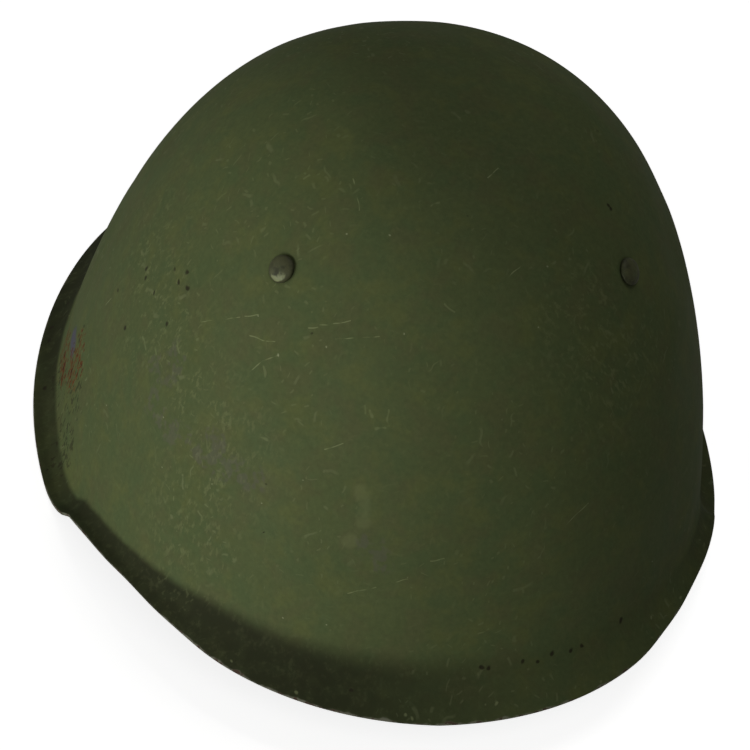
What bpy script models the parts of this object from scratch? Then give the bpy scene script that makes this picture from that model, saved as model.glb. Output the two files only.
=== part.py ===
"""A pressed steel combat helmet: one flared shell and the two round-headed rivets through its crown.

The helmet stands on its rim at Z = 0, centred on the origin. The visor faces -Y and the
wearer's left is +X. Run it with blender --background --python part.py, or from Blender's
text editor. Everything is in metres.
"""

import math
from collections import namedtuple

import bmesh
import bpy
from mathutils import Matrix, Vector

# Crown: the upper part of a squared-off ellipsoid, whose widest outline lies below the rim
CROWN_HEIGHT = 0.1690
CROWN_HALF_WIDTH = 0.1147
CROWN_FRONT = 0.1340
CROWN_REAR = 0.1420
CROWN_ROOT_DEPTH = 0.0890
PLAN_SQUARENESS = 2.11
FRONT_FULLNESS = 2.57
REAR_FULLNESS = 2.24
SIDE_FULLNESS = 2.68

# Flare: the rim band that turns outwards, widest at the visor
VISOR_RISE = 0.0185
VISOR_REACH = 0.0152
VISOR_DROP = 0.0128
BEND_HEIGHT = 0.0072
BEND_SHARE = 0.65

# Sheet steel
WALL = 0.0012
RIM_LAND = 0.0007

# Rivets: head outside, shank through the wall, upset tail inside
RIVET_BELOW_CROWN = 0.0288
RIVET_AZIMUTH = 53.0
RIVET_HEAD_DIAMETER = 0.0096
RIVET_HEAD_HEIGHT = 0.0025
RIVET_HEAD_EDGE = 0.0005
RIVET_SHANK_DIAMETER = 0.0042
RIVET_TAIL_DIAMETER = 0.0068
RIVET_TAIL_HEIGHT = 0.0014
RIVET_TAIL_EDGE = 0.0005
RIVET_CLEARANCE = 0.0003

# Fineness of the meshes
SHELL_SEGMENTS = 84
CROWN_ROWS = 16
BEND_ROWS = 5
RIVET_SEGMENTS = 20
RIVET_HEAD_ROWS = 5
RIVET_TAIL_ROWS = 3
SMOOTH_ANGLE = math.radians(40)
PROBE = 0.0005

# The rim from the visor (0 degrees) round to the back (180), alike on both sides.
# rise, reach and drop are shares of VISOR_RISE, VISOR_REACH and VISOR_DROP: how high the
# rim stands, how far the flare goes out, and how far it goes down.
RimSection = namedtuple("RimSection", "azimuth rise reach drop")
RIM_SECTIONS = (
    RimSection(azimuth=0, rise=1.00, reach=1.00, drop=1.00),
    RimSection(azimuth=30, rise=1.00, reach=0.79, drop=0.88),
    RimSection(azimuth=45, rise=0.98, reach=0.51, drop=0.50),
    RimSection(azimuth=60, rise=0.80, reach=0.39, drop=0.22),
    RimSection(azimuth=72, rise=0.48, reach=0.39, drop=0.14),
    RimSection(azimuth=84, rise=0.00, reach=0.45, drop=0.14),
    RimSection(azimuth=120, rise=0.00, reach=0.50, drop=0.44),
    RimSection(azimuth=150, rise=0.00, reach=0.67, drop=0.78),
    RimSection(azimuth=180, rise=0.00, reach=0.75, drop=0.86),
)

RivetPlace = namedtuple("RivetPlace", "name azimuth")
RIVET_PLACES = (
    RivetPlace("rivet_front_left", RIVET_AZIMUTH),
    RivetPlace("rivet_front_right", -RIVET_AZIMUTH),
)

Finish = namedtuple("Finish", "name colour roughness metallic")
SHELL_PAINT = Finish("shell_paint", (0.078, 0.098, 0.045, 1.0), roughness=0.62, metallic=0.0)
RIVET_PAINT = Finish("rivet_paint", (0.070, 0.088, 0.042, 1.0), roughness=0.55, metallic=0.0)


def clear_scene():
    for old in list(bpy.data.objects):
        bpy.data.objects.remove(old, do_unlink=True)


def make_material(finish):
    material = bpy.data.materials.new(finish.name)
    material.use_nodes = True
    shader = material.node_tree.nodes["Principled BSDF"]
    shader.inputs["Base Color"].default_value = finish.colour
    shader.inputs["Roughness"].default_value = finish.roughness
    shader.inputs["Metallic"].default_value = finish.metallic
    return material


def column(name):
    """One column of the rim table, mirrored a row past each end so that the curve is level there."""
    rows = [(row.azimuth, getattr(row, name)) for row in RIM_SECTIONS]
    before = (-rows[1][0], rows[1][1])
    after = (2 * rows[-1][0] - rows[-2][0], rows[-2][1])
    return [before] + rows + [after]


def slope_at(rows, index):
    """Slope of a monotone curve through the rows: level at a peak or a dip."""
    (a0, v0), (a1, v1), (a2, v2) = rows[index - 1 : index + 2]
    left = (v1 - v0) / (a1 - a0)
    right = (v2 - v1) / (a2 - a1)
    if left * right <= 0:
        return 0.0
    return 2 * left * right / (left + right)


def share_at(name, azimuth):
    """A column's value at any azimuth in degrees, on a smooth curve through its rows."""
    rows = column(name)
    angle = abs((azimuth + 180.0) % 360.0 - 180.0)
    index = 1
    while index < len(rows) - 3 and rows[index + 1][0] < angle:
        index += 1
    (a0, v0), (a1, v1) = rows[index : index + 2]
    span = a1 - a0
    t = (angle - a0) / span
    rise0 = slope_at(rows, index) * span
    rise1 = slope_at(rows, index + 1) * span
    return (
        v0 * (1 + 2 * t) * (1 - t) ** 2
        + rise0 * t * (1 - t) ** 2
        + v1 * t * t * (3 - 2 * t)
        + rise1 * t * t * (t - 1)
    )


def plan_radius(azimuth):
    """Radius of the crown's widest outline, a squared-off ellipse."""
    angle = math.radians(azimuth)
    along = CROWN_FRONT if math.cos(angle) > 0 else CROWN_REAR
    across_part = abs(math.sin(angle) / CROWN_HALF_WIDTH) ** PLAN_SQUARENESS
    along_part = abs(math.cos(angle) / along) ** PLAN_SQUARENESS
    return (across_part + along_part) ** (-1 / PLAN_SQUARENESS)


def fullness(azimuth):
    """Exponent of the crown's meridian: 2 is an ellipse, more is squarer."""
    angle = math.radians(azimuth)
    end = FRONT_FULLNESS if math.cos(angle) > 0 else REAR_FULLNESS
    side_share = math.sin(angle) ** 2
    return end * (1 - side_share) + SIDE_FULLNESS * side_share


def crown_radius(azimuth, level):
    """Distance of the crown's outer surface from its axis at a level above the rim."""
    power = fullness(azimuth)
    height_share = (level + CROWN_ROOT_DEPTH) / (CROWN_HEIGHT + CROWN_ROOT_DEPTH)
    height_share = min(max(height_share, 0.0), 1.0)
    return plan_radius(azimuth) * (1 - height_share**power) ** (1 / power)


def dressed_height(tilt):
    """How much the flat land takes off the rim's lower corner, on a flare of this tilt."""
    return min(RIM_LAND, WALL) * math.sin(tilt) * math.cos(tilt)


def flare(azimuth):
    """Reach, drop and outer edge level of the flare, whose land lies at the rim's own level."""
    reach = VISOR_REACH * share_at("reach", azimuth)
    drop = VISOR_DROP * share_at("drop", azimuth)
    tilt = math.atan2(drop, reach)
    rim_level = VISOR_RISE * share_at("rise", azimuth)
    return reach, drop, rim_level - dressed_height(tilt) + WALL * math.cos(tilt)


def outer_profile(azimuth):
    """(radius, level) points down the outside, from the first row under the pole to the rim."""
    reach, drop, edge_level = flare(azimuth)
    root_level = edge_level + drop
    start_level = root_level + BEND_HEIGHT
    power = fullness(azimuth)
    full = CROWN_HEIGHT + CROWN_ROOT_DEPTH
    start_share = (start_level + CROWN_ROOT_DEPTH) / full
    start_angle = math.asin(start_share ** (power / 2))
    points = []
    for row in range(1, CROWN_ROWS + 1):
        angle = math.pi / 2 + (start_angle - math.pi / 2) * row / CROWN_ROWS
        level = full * math.sin(angle) ** (2 / power) - CROWN_ROOT_DEPTH
        points.append((crown_radius(azimuth, level), level))

    # The bend runs on down the crown's own slope, then turns out along the flare
    start_radius = points[-1][0]
    lean = (crown_radius(azimuth, start_level - PROBE) - start_radius) / PROBE
    root_radius = start_radius + lean * BEND_HEIGHT
    turn = (root_radius + reach * BEND_SHARE, root_level - drop * BEND_SHARE)
    for row in range(1, BEND_ROWS + 1):
        t = row / BEND_ROWS
        radius = (1 - t) ** 2 * start_radius + 2 * t * (1 - t) * root_radius + t * t * turn[0]
        level = (1 - t) ** 2 * start_level + 2 * t * (1 - t) * root_level + t * t * turn[1]
        points.append((radius, level))
    points.append((root_radius + reach, root_level - drop))
    return points


def inner_profile(outer):
    """The same points, set in by the wall at right angles to the sheet."""
    inner = []
    above = (0.0, CROWN_HEIGHT)
    for index, point in enumerate(outer):
        below = outer[index + 1] if index + 1 < len(outer) else point
        along = Vector((below[0] - above[0], below[1] - above[1])).normalized()
        inner.append((point[0] + along.y * WALL, point[1] - along.x * WALL))
        above = point
    return inner


def rim_corner(azimuth, inner_edge):
    """The two ends of the flat land that the rim's lower corner is dressed to."""
    reach, drop, _ = flare(azimuth)
    tilt = math.atan2(drop, reach)
    land = min(RIM_LAND, WALL)
    radius, level = inner_edge
    level += dressed_height(tilt)
    return (radius + land * math.sin(tilt) ** 2, level), (radius - land * math.cos(tilt) ** 2, level)


def shell_profile(azimuth):
    """The whole section at an azimuth: down the outside, over the rim and up the inside."""
    outer = outer_profile(azimuth)
    inner = inner_profile(outer)
    outside, inside = rim_corner(azimuth, inner[-1])
    return outer + [outside, inside] + inner[-2::-1]


def centre_shift():
    """How far the crown's axis lies behind the middle of the helmet's length."""
    front = outer_profile(0.0)[-1][0]
    rear = outer_profile(180.0)[-1][0]
    return (front - rear) / 2


def place(azimuth, radius, level):
    angle = math.radians(azimuth)
    return Vector((radius * math.sin(angle), centre_shift() - radius * math.cos(angle), level))


def mesh_object(name, mesh_bm, material):
    bmesh.ops.recalc_face_normals(mesh_bm, faces=mesh_bm.faces)
    mesh = bpy.data.meshes.new(name)
    mesh_bm.to_mesh(mesh)
    mesh_bm.free()
    mesh.materials.append(material)
    mesh.shade_smooth()
    mesh.set_sharp_from_angle(angle=SMOOTH_ANGLE)
    obj = bpy.data.objects.new(name, mesh)
    bpy.context.scene.collection.objects.link(obj)
    return obj


def bridge_rings(mesh_bm, first, second):
    count = len(first)
    for i in range(count):
        j = (i + 1) % count
        mesh_bm.faces.new((first[i], second[i], second[j], first[j]))


def close_ring(mesh_bm, ring, pole):
    count = len(ring)
    for i in range(count):
        mesh_bm.faces.new((pole, ring[i], ring[(i + 1) % count]))


def make_shell(material):
    azimuths = [360.0 * i / SHELL_SEGMENTS for i in range(SHELL_SEGMENTS)]
    profiles = [shell_profile(azimuth) for azimuth in azimuths]
    mesh_bm = bmesh.new()
    rings = []
    for row in zip(*profiles):
        rings.append([mesh_bm.verts.new(place(a, *point)) for a, point in zip(azimuths, row)])
    for first, second in zip(rings, rings[1:]):
        bridge_rings(mesh_bm, first, second)
    close_ring(mesh_bm, rings[0], mesh_bm.verts.new(place(0.0, 0.0, CROWN_HEIGHT)))
    close_ring(mesh_bm, rings[-1], mesh_bm.verts.new(place(0.0, 0.0, CROWN_HEIGHT - WALL)))
    return mesh_object("shell", mesh_bm, material)


def rivet_frame(azimuth):
    """Place on the outer surface, with local Z pointing straight out of the steel."""
    level = CROWN_HEIGHT - RIVET_BELOW_CROWN
    radius = crown_radius(azimuth, level)
    turn = math.degrees(PROBE / radius)

    def on_crown(a, z):
        return place(a, crown_radius(a, z), z)

    around = on_crown(azimuth + turn, level) - on_crown(azimuth - turn, level)
    upwards = on_crown(azimuth, level + PROBE) - on_crown(azimuth, level - PROBE)
    outwards = around.cross(upwards).normalized()
    side = around.normalized()
    axes = Matrix((side, outwards.cross(side), outwards)).transposed()
    return Matrix.Translation(place(azimuth, radius, level)) @ axes.to_4x4()


def button(radius, edge, height, rows):
    """(radius, level) points of a round button on level 0, from under its pole out and down."""
    points = []
    for row in range(1, rows + 1):
        angle = math.pi / 2 * row / rows
        points.append((radius * math.sin(angle), edge + (height - edge) * math.cos(angle)))
    return points + [(radius, 0.0)]


def rivet_profile():
    """(radius, level) points from under the head's pole to the tail's."""
    shank = RIVET_SHANK_DIAMETER / 2
    seat = RIVET_CLEARANCE
    inside = -WALL - RIVET_CLEARANCE
    head = button(RIVET_HEAD_DIAMETER / 2, RIVET_HEAD_EDGE, RIVET_HEAD_HEIGHT, RIVET_HEAD_ROWS)
    tail = button(RIVET_TAIL_DIAMETER / 2, RIVET_TAIL_EDGE, RIVET_TAIL_HEIGHT, RIVET_TAIL_ROWS)
    points = [(radius, seat + level) for radius, level in head]
    points += [(shank, seat), (shank, inside)]
    points += [(radius, inside - level) for radius, level in reversed(tail)]
    return points


def rivet_ring(mesh_bm, radius, level):
    angles = [2 * math.pi * i / RIVET_SEGMENTS for i in range(RIVET_SEGMENTS)]
    return [mesh_bm.verts.new((radius * math.cos(a), radius * math.sin(a), level)) for a in angles]


def make_rivet(name, material):
    mesh_bm = bmesh.new()
    rings = [rivet_ring(mesh_bm, *point) for point in rivet_profile()]
    for first, second in zip(rings, rings[1:]):
        bridge_rings(mesh_bm, first, second)
    top = RIVET_CLEARANCE + RIVET_HEAD_HEIGHT
    foot = -WALL - RIVET_CLEARANCE - RIVET_TAIL_HEIGHT
    close_ring(mesh_bm, rings[0], mesh_bm.verts.new((0.0, 0.0, top)))
    close_ring(mesh_bm, rings[-1], mesh_bm.verts.new((0.0, 0.0, foot)))
    return mesh_object(name, mesh_bm, material)


def make_rivets(material):
    """The rivets share one mesh."""
    first = make_rivet(RIVET_PLACES[0].name, material)
    rivets = [first]
    for spot in RIVET_PLACES[1:]:
        copy = bpy.data.objects.new(spot.name, first.data)
        bpy.context.scene.collection.objects.link(copy)
        rivets.append(copy)
    for spot, rivet in zip(RIVET_PLACES, rivets):
        rivet.matrix_world = rivet_frame(spot.azimuth)
    return rivets


def drill_shell(shell, material):
    """Cuts a clearance hole for each rivet's shank, and gives back the cutters."""
    radius = RIVET_SHANK_DIAMETER / 2 + RIVET_CLEARANCE
    cutters = []
    for spot in RIVET_PLACES:
        mesh_bm = bmesh.new()
        bmesh.ops.create_cone(
            mesh_bm,
            cap_ends=True,
            segments=RIVET_SEGMENTS,
            radius1=radius,
            radius2=radius,
            depth=WALL * 8,
        )
        cutter = mesh_object("hole_for_" + spot.name, mesh_bm, material)
        cutter.matrix_world = rivet_frame(spot.azimuth)
        cutter.hide_render = True
        cutter.display_type = "WIRE"
        hole = shell.modifiers.new(cutter.name, "BOOLEAN")
        hole.operation = "DIFFERENCE"
        hole.solver = "EXACT"
        hole.object = cutter
        cutters.append(cutter)
    return cutters


def main():
    clear_scene()
    shell_paint = make_material(SHELL_PAINT)
    rivet_paint = make_material(RIVET_PAINT)
    helmet = bpy.data.objects.new("helmet", None)
    bpy.context.scene.collection.objects.link(helmet)
    shell = make_shell(shell_paint)
    cutters = drill_shell(shell, shell_paint)
    for piece in [shell] + cutters + make_rivets(rivet_paint):
        piece.parent = helmet


main()
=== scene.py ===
# Worn steel combat helmet: the finish, light and camera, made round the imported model.
# The visor faces -Y, the wearer's left is +X, and the helmet rests on its rim at z = 0.

import math
from types import SimpleNamespace

import bmesh
import bpy
import numpy as np
from mathutils import Matrix, Vector
from mathutils.bvhtree import BVHTree


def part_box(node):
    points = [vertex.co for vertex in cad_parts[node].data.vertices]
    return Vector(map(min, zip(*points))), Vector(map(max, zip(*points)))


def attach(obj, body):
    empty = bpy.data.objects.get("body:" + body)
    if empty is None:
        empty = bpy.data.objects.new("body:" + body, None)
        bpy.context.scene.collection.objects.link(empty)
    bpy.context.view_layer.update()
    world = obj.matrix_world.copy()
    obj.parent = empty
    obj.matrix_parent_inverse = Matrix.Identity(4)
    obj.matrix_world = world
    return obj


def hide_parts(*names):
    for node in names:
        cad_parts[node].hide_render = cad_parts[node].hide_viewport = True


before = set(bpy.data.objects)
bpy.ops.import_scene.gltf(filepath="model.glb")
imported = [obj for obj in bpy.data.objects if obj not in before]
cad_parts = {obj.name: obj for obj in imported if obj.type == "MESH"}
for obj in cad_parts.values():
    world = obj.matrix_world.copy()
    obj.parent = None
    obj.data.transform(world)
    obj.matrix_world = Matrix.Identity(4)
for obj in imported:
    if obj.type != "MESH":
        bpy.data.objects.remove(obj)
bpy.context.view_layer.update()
scene = bpy.context.scene
print("frame loaded:", len(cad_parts), "nodes")


# Node trees, for geometry and shaders alike: their sums are written as sums


class Formula:
    def __init__(self, tree, socket):
        self.tree = tree
        self.socket = socket

    def do(self, operation, *values, clamp=False):
        sockets = dict(enumerate(values))
        node = addNode(self.tree, "ShaderNodeMath", sockets, operation=operation, use_clamp=clamp)
        return Formula(self.tree, node.outputs[0])

    def __add__(self, other):
        return self.do("ADD", self, other)

    def __sub__(self, other):
        return self.do("SUBTRACT", self, other)

    def __rsub__(self, other):
        return self.do("SUBTRACT", other, self)

    def __mul__(self, other):
        return self.do("MULTIPLY", self, other)

    def __truediv__(self, other):
        return self.do("DIVIDE", self, other)

    def __rtruediv__(self, other):
        return self.do("DIVIDE", other, self)

    def __pow__(self, other):
        return self.do("POWER", self, other)

    def of(self, operation):
        return self.do(operation, self)

    def clamped(self):
        return self.do("ADD", self, 0.0, clamp=True)

    def larger(self, other):
        return self.do("MAXIMUM", self, other)

    def smaller(self, other):
        return self.do("MINIMUM", self, other)

    def ramp(self, low, high):
        # 0 at low and 1 at high, smooth between; low may be the larger
        sockets = {"Value": self, "From Min": low, "From Max": high}
        node = addNode(self.tree, "ShaderNodeMapRange", sockets, interpolation_type="SMOOTHSTEP")
        return Formula(self.tree, node.outputs[0])

    __radd__ = __add__
    __rmul__ = __mul__


def connect(tree, value, socket):
    if isinstance(value, Formula):
        tree.links.new(value.socket, socket)
    elif isinstance(value, bpy.types.NodeSocket):
        tree.links.new(value, socket)
    else:
        socket.default_value = value


def addNode(tree, kind, sockets, **settings):
    # sockets maps an input's name or its place in the row to a value or to what feeds it
    node = tree.nodes.new(kind)
    for name, value in settings.items():
        setattr(node, name, value)
    for label, value in sockets.items():
        connect(tree, value, node.inputs[label])
    return node


def vectorMath(tree, operation, *values, scale=None):
    sockets = dict(enumerate(values))
    if scale is not None:
        sockets["Scale"] = scale
    node = addNode(tree, "ShaderNodeVectorMath", sockets, operation=operation)
    measured = operation in ("DOT_PRODUCT", "DISTANCE")
    return Formula(tree, node.outputs["Value" if measured else "Vector"])


def parts(tree, vector):
    # a vector's x, y and z, or a colour's red, green and blue
    split = addNode(tree, "ShaderNodeSeparateXYZ", {0: vector})
    return [Formula(tree, socket) for socket in split.outputs]


def noise(tree, vector, scale, detail, roughness=0.5, output="Fac"):
    sockets = {"Vector": vector, "Scale": scale, "Detail": detail, "Roughness": roughness}
    return Formula(tree, addNode(tree, "ShaderNodeTexNoise", sockets).outputs[output])


def newGroup(treeKind, name, inputs, outputs):
    # inputs and outputs map a kind of socket to the labels of those that there are
    tree = bpy.data.node_groups.new(name, treeKind)
    for direction, sockets in (("INPUT", inputs), ("OUTPUT", outputs)):
        for kind, labels in sockets.items():
            for label in labels.split():
                tree.interface.new_socket(name=label, in_out=direction, socket_type="NodeSocket" + kind)
    start = tree.nodes.new("NodeGroupInput")
    given = {socket.name: Formula(tree, socket) for socket in start.outputs if socket.name}
    return tree, SimpleNamespace(**given), tree.nodes.new("NodeGroupOutput")


def addObject(name, data):
    added = bpy.data.objects.new(name, data)
    scene.collection.objects.link(added)
    return added


def keepMesh(holder, name):
    # the holder's modifiers become a plain mesh on a new object, and the holder goes
    graph = bpy.context.evaluated_depsgraph_get()
    mesh = bpy.data.meshes.new_from_object(holder.evaluated_get(graph))
    mesh.name = name
    bpy.data.objects.remove(holder, do_unlink=True)
    return addObject(name, mesh)


def runGeometry(name, tree, settings):
    # settings may hold more than the tree's own inputs
    holder = addObject(name + "Maker", bpy.data.meshes.new(name + "Maker"))
    modifier = holder.modifiers.new(name, "NODES")
    modifier.node_group = tree
    for item in tree.interface.items_tree:
        if item.in_out == "INPUT" and item.name in settings:
            modifier[item.identifier] = settings[item.name]
    return keepMesh(holder, name)


# Camera: the photograph's own view, found by laying the model's outline over the picture

photoView = {
    "azimuth": -16.6,  # degrees round from the front, towards the wearer's right
    "elevation": 45.3,
    "roll": -12.3,
    "distance": 4.0,  # metres to the helmet's middle
    "middle": Vector((0.0, 0.0, 0.070)),
    "middlePixel": (405.1, 314.0),  # where that middle falls in the picture
    "pixelsPerMetre": 2919.0,
    "pictureSide": 750,
    "sensor": 36.0,
}


def cameraAxes():
    azimuth, elevation, roll = (math.radians(photoView[k]) for k in ("azimuth", "elevation", "roll"))
    outward = Vector((math.sin(azimuth), -math.cos(azimuth), 0.0))
    back = outward * math.cos(elevation) + Vector((0.0, 0.0, math.sin(elevation)))
    level = Vector((math.cos(azimuth), math.sin(azimuth), 0.0))
    upright = back.cross(level)
    across = level * math.cos(roll) - upright * math.sin(roll)
    up = level * math.sin(roll) + upright * math.cos(roll)
    return across, up, back


def offMiddle(pixelX, pixelY):
    # pixels right of the picture's middle, and above it
    half = photoView["pictureSide"] / 2
    return pixelX - half, half - pixelY


def makeCamera():
    across, up, back = cameraAxes()
    right, above = offMiddle(*photoView["middlePixel"])
    scale = photoView["pixelsPerMetre"]
    aim = photoView["middle"] - (across * right + up * above) / scale
    data = bpy.data.cameras.new("camera")
    data.sensor_width = photoView["sensor"]
    data.lens = photoView["sensor"] * scale * photoView["distance"] / photoView["pictureSide"]
    camera = addObject("camera", data)
    turn = Matrix((across, up, back)).transposed()
    camera.matrix_world = Matrix.Translation(aim + back * photoView["distance"]) @ turn.to_4x4()
    scene.camera = camera
    return camera


camera = makeCamera()
print("camera placed, lens", round(camera.data.lens), "mm")


# Shell: one sheet, whose outside follows the crown's formula and the rim's curves

shellShape = {
    "segments": 288,
    "rows": 112,
    "crownRows": 0.80,  # share of the rows on the crown, then on the bend; the flare has the rest
    "bendRows": 0.14,
    "height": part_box("shell")[1].z,
    "halfWidth": 0.11468,
    "frontLength": 0.1340,
    "rearLength": 0.1420,
    "rootDepth": 0.0890,  # how far below the rim the crown's widest outline lies
    "squareness": 2.11,
    "frontFullness": 2.57,
    "rearFullness": 2.24,
    "sideFullness": 2.68,
    "visorRise": 0.0185,
    "visorReach": 0.0152,
    "visorDrop": 0.0128,
    "bendHeight": 0.0072,
    "bendShare": 0.65,
    "weld": 0.00001,
    "wall": 0.0012,
    "rimLand": 0.0007,
    "edgeRound": 0.00035,
    "edgeSegments": 3,
    "edgeAngle": 24,  # degrees, past which an edge is rounded
    "sharpAngle": 42,  # and past which it is still shaded as sharp
    "dentDepth": 0.0006,
    "dentSize": 0.050,
    "dentDetail": 1.5,
    "dentStart": 0.45,  # noise level where a knock starts, and where it is full
    "dentFull": 0.75,
    "poleLow": 0.955,  # shares of the height, between which the knocks die out at the pole
    "poleHigh": 0.998,
    "steadyFlare": 0.5,  # share of the bend and flare over which they die out at the rim
    "dimpleDepth": 0.00025,
    "dimpleRadius": 0.0085,
    # from the visor (0 degrees) to the back (180): shares of the visor's rise, reach and drop
    "rim": {
        "azimuth": (0, 30, 45, 60, 72, 84, 120, 150, 180),
        "rise": (1.00, 1.00, 0.98, 0.80, 0.48, 0.00, 0.00, 0.00, 0.00),
        "reach": (1.00, 0.79, 0.51, 0.39, 0.39, 0.45, 0.50, 0.67, 0.75),
        "drop": (1.00, 0.88, 0.50, 0.22, 0.14, 0.14, 0.44, 0.78, 0.86),
    },
}


def rimCurve(tree, fold, column):
    # fold runs from 0 at the visor to 1 at the back
    node = addNode(tree, "ShaderNodeFloatCurve", {"Value": fold})
    curve = node.mapping.curves[0]
    rim = shellShape["rim"]
    while len(curve.points) < len(rim["azimuth"]):
        curve.points.new(0.5, 0.5)
    for point, azimuth, share in zip(curve.points, rim["azimuth"], rim[column]):
        point.location = (azimuth / 180.0, share)
        point.handle_type = "AUTO_CLAMPED"
    node.mapping.update()
    return Formula(tree, node.outputs[0])


def storeShare(tree, geometry, name, value):
    sockets = {"Geometry": geometry, "Name": name, "Value": value}
    node = addNode(tree, "GeometryNodeStoreNamedAttribute", sockets, data_type="FLOAT", domain="POINT")
    return node.outputs[0]


def readShare(tree, name):
    node = addNode(tree, "GeometryNodeInputNamedAttribute", {"Name": name}, data_type="FLOAT")
    return Formula(tree, node.outputs[0])


def geometryOf(tree, holder):
    return addNode(tree, "GeometryNodeObjectInfo", {"Object": holder}).outputs["Geometry"]


def movePoints(tree, geometry, label, value):
    return addNode(tree, "GeometryNodeSetPosition", {"Geometry": geometry, label: value}).outputs[0]


def pushOut(tree, geometry, amount):
    # along the points' own normals
    normal = tree.nodes.new("GeometryNodeInputNormal").outputs[0]
    return movePoints(tree, geometry, "Offset", vectorMath(tree, "SCALE", normal, scale=amount))


def fieldNoise(tree, size, detail):
    # noise at the points' own places
    position = tree.nodes.new("GeometryNodeInputPosition").outputs[0]
    return noise(tree, position, 1.0 / size, detail)


def endTree(tree, geometry, material, end):
    smooth = addNode(tree, "GeometryNodeSetShadeSmooth", {"Geometry": geometry})
    realized = addNode(tree, "GeometryNodeRealizeInstances", {0: smooth.outputs[0]})
    sockets = {"Geometry": realized.outputs[0], "Material": material}
    painted = addNode(tree, "GeometryNodeSetMaterial", sockets)
    tree.links.new(painted.outputs[0], end.inputs[0])
    return tree


def shellTree():
    sizes = " ".join(name for name, value in shellShape.items() if isinstance(value, float))
    inputs = {"Float": sizes, "Int": "segments rows", "Object": "seats", "Material": "paint"}
    tree, size, end = newGroup("GeometryNodeTree", "helmetShell", inputs, {"Geometry": "Geometry"})

    # a flat sheet: x goes once round the helmet from the back, y down from the pole to the rim
    sockets = {"Size X": 1.0, "Size Y": 1.0, "Vertices Y": size.rows}
    grid = addNode(tree, "GeometryNodeMeshGrid", {**sockets, "Vertices X": size.segments + 1.0})
    x, y, z = parts(tree, tree.nodes.new("GeometryNodeInputPosition").outputs[0])
    around = x * math.tau
    fold = x.of("ABSOLUTE") * 2.0
    down = 0.5 - y

    # crown: a squared-off ellipse in plan, and another up each meridian
    sine = around.of("SINE")
    cosine = around.of("COSINE")
    front = cosine.do("GREATER_THAN", cosine, 0.0)
    sideShare = sine * sine
    along = front * size.frontLength + (1.0 - front) * size.rearLength
    acrossPart = (sine.of("ABSOLUTE") / size.halfWidth) ** size.squareness
    alongPart = (cosine.of("ABSOLUTE") / along) ** size.squareness
    planRadius = (acrossPart + alongPart) ** (-1.0 / size.squareness)
    endFullness = front * size.frontFullness + (1.0 - front) * size.rearFullness
    power = endFullness * (1.0 - sideShare) + size.sideFullness * sideShare
    rootPower = 2.0 / power

    # rim: how high it stands here, and how far the flare goes out and down
    reach = rimCurve(tree, fold, "reach") * size.visorReach
    drop = rimCurve(tree, fold, "drop") * size.visorDrop
    rise = rimCurve(tree, fold, "rise") * size.visorRise
    tilt = reach.do("ARCTAN2", drop, reach)
    dressed = size.rimLand * tilt.of("SINE") * tilt.of("COSINE")
    edgeLevel = rise - dressed + size.wall * tilt.of("COSINE")
    rootLevel = edgeLevel + drop
    startLevel = rootLevel + size.bendHeight

    full = size.height + size.rootDepth
    startShare = (startLevel + size.rootDepth) / full
    startAngle = (startShare ** (power * 0.5)).of("ARCSINE")
    crownStep = (down / size.crownRows).clamped()
    angle = (startAngle - math.pi / 2) * crownStep + math.pi / 2
    crownLevel = full * angle.of("SINE") ** rootPower - size.rootDepth
    crownRadius = planRadius * angle.of("COSINE").larger(0.0) ** rootPower

    # bend: on down the crown's own slope, then out along the flare
    startRadius = planRadius * startAngle.of("COSINE") ** rootPower
    lean = planRadius * (startShare * planRadius / startRadius) ** (power - 1.0) / full
    rootRadius = startRadius + lean * size.bendHeight
    turnRadius = rootRadius + reach * size.bendShare
    turnLevel = rootLevel - drop * size.bendShare
    bendStep = ((down - size.crownRows) / size.bendRows).clamped()
    rest = 1.0 - bendStep

    def bent(first, corner, last):
        return rest * rest * first + rest * bendStep * corner * 2.0 + bendStep * bendStep * last

    doneRows = size.crownRows + size.bendRows
    lipShare = ((down - doneRows) / (1.0 - doneRows)).clamped() * (1.0 - size.bendShare)
    radius = crownRadius + bent(startRadius, rootRadius, turnRadius) - startRadius + reach * lipShare
    level = crownLevel + bent(startLevel, rootLevel, turnLevel) - startLevel - drop * lipShare

    sockets = {"X": radius * sine, "Y": radius * cosine * -1.0, "Z": level}
    place = addNode(tree, "ShaderNodeCombineXYZ", sockets).outputs[0]
    flareShare = ((down - size.crownRows) / (1.0 - size.crownRows)).clamped()
    marked = storeShare(tree, grid.outputs["Mesh"], "flareShare", flareShare)
    sockets = {"Geometry": movePoints(tree, marked, "Position", place), "Distance": size.weld}
    welded = addNode(tree, "GeometryNodeMergeByDistance", sockets).outputs[0]

    # centred by its own length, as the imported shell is
    box = addNode(tree, "GeometryNodeBoundBox", {"Geometry": welded})
    ends = vectorMath(tree, "ADD", box.outputs["Min"], box.outputs["Max"])
    centred = movePoints(tree, welded, "Offset", vectorMath(tree, "MULTIPLY", ends, (0.0, -0.5, 0.0)))

    # knocks push the steel in here and there, but not at the pole, so the height stays as packed;
    # it is also drawn in round each rivet
    steady = 1.0 - readShare(tree, "flareShare").ramp(0.0, size.steadyFlare)
    belowPole = (z / size.height).ramp(size.poleHigh, size.poleLow)
    knock = fieldNoise(tree, size.dentSize, size.dentDetail).ramp(size.dentStart, size.dentFull)
    knock = knock * size.dentDepth * steady * belowPole
    seats = {0: geometryOf(tree, size.seats)}
    near = addNode(tree, "GeometryNodeProximity", seats, target_element="POINTS")
    dimple = Formula(tree, near.outputs["Distance"]).ramp(size.dimpleRadius, 0.0) * size.dimpleDepth
    return endTree(tree, pushOut(tree, centred, (knock + dimple) * -1.0), size.paint, end)


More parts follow.
